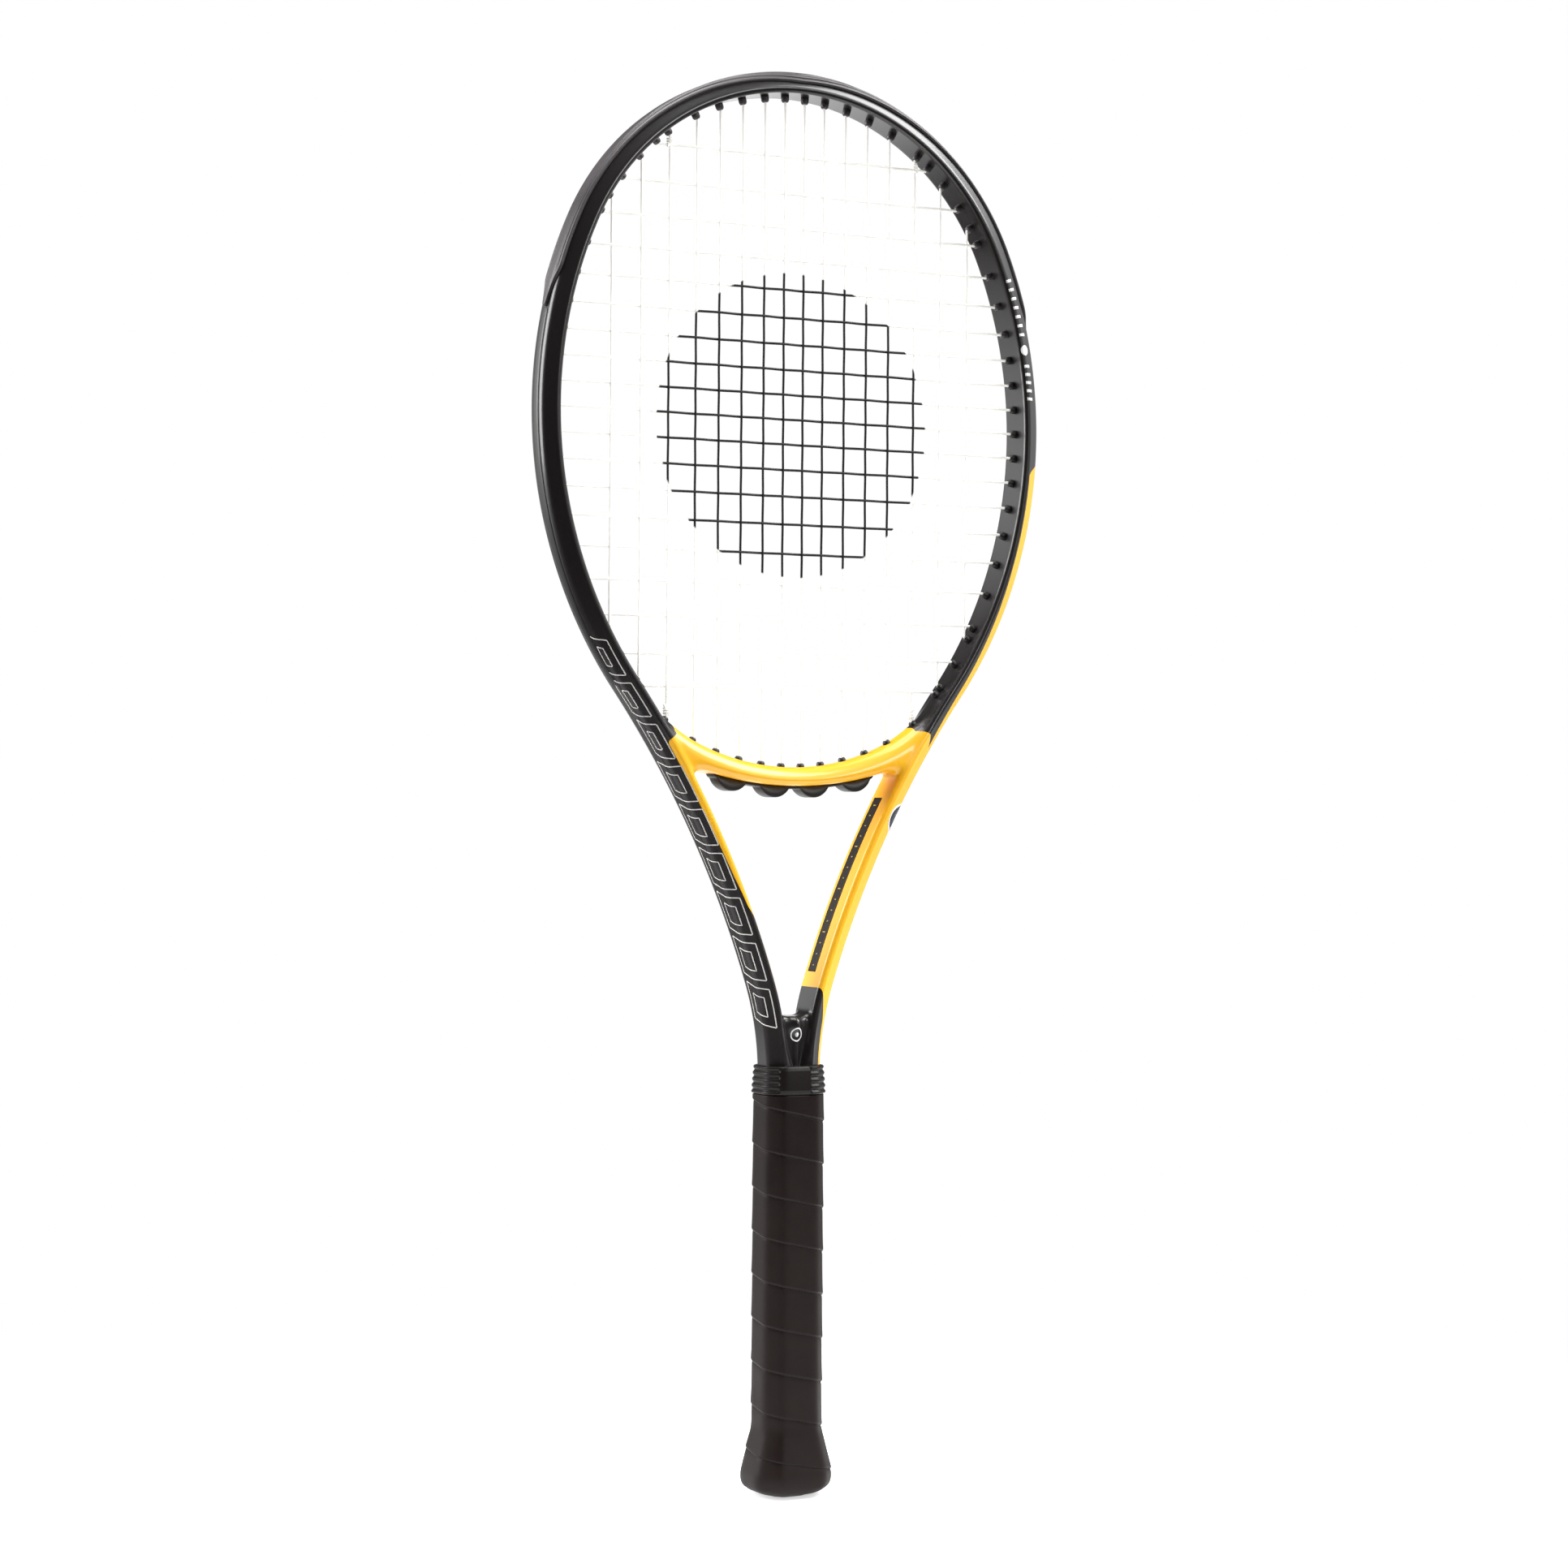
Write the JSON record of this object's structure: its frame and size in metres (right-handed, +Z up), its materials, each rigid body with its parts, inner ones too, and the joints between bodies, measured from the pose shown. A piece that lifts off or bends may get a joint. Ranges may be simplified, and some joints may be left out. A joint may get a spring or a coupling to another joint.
{
  "type": "tennis racket",
  "caption": "Strung tennis racket: oval head with bumper and grommets, open V throat, wrapped octagonal handle.",
  "frame": {"origin": "centre of the butt end, where the handle would stand on a surface", "axes": "+Z up the racket from butt to head, +X across the head, +Y through the thickness; front is -Y"},
  "size_m": [0.2712, 0.0368, 0.6858],
  "materials": {
    "frame_black": "gloss lacquer over carbon composite",
    "frame_yellow": "gloss lacquer over carbon composite",
    "composite": "bare carbon composite",
    "foam": "moulded polyurethane foam",
    "cap_plastic": "fine moulded texture",
    "badge_plastic": "plain disc",
    "staple_steel": "plain wire",
    "grip_leather": "soft synthetic grip tape",
    "tape": "vinyl tape",
    "collar_rubber": "ribbed moulded rubber",
    "bumper_plastic": "satin nylon",
    "grommet_plastic": "satin nylon",
    "string": "synthetic gut with an inked middle",
    "label_black": "plain printed strip",
    "print_white": "plain ring inlay"
  },
  "bodies": {
    "root": {"head_hoop": "frame_black", "shaft_left": "frame_black", "shaft_right": "frame_yellow", "throat_bridge": "frame_yellow", "throat_web": "frame_black", "throat_emblem": "print_white", "shaft_label": "label_black", "hairpin_right": "composite", "hairpin_left": "composite", "handle_core": "foam", "butt_cap_staples": "staple_steel", "butt_cap": "cap_plastic", "butt_cap_badge": "badge_plastic", "grip_tack": "staple_steel", "grip_wrap": "grip_leather", "finishing_tape": "tape", "grip_collar": "collar_rubber", "bumper_guard": "bumper_plastic", "grommet_strip_right": "grommet_plastic", "grommet_strip_left": "grommet_plastic", "grommet_strip_throat": "grommet_plastic", "main_strings": "string", "cross_strings": "string", "string_knots": "string"}
  },
  "joints": []
}
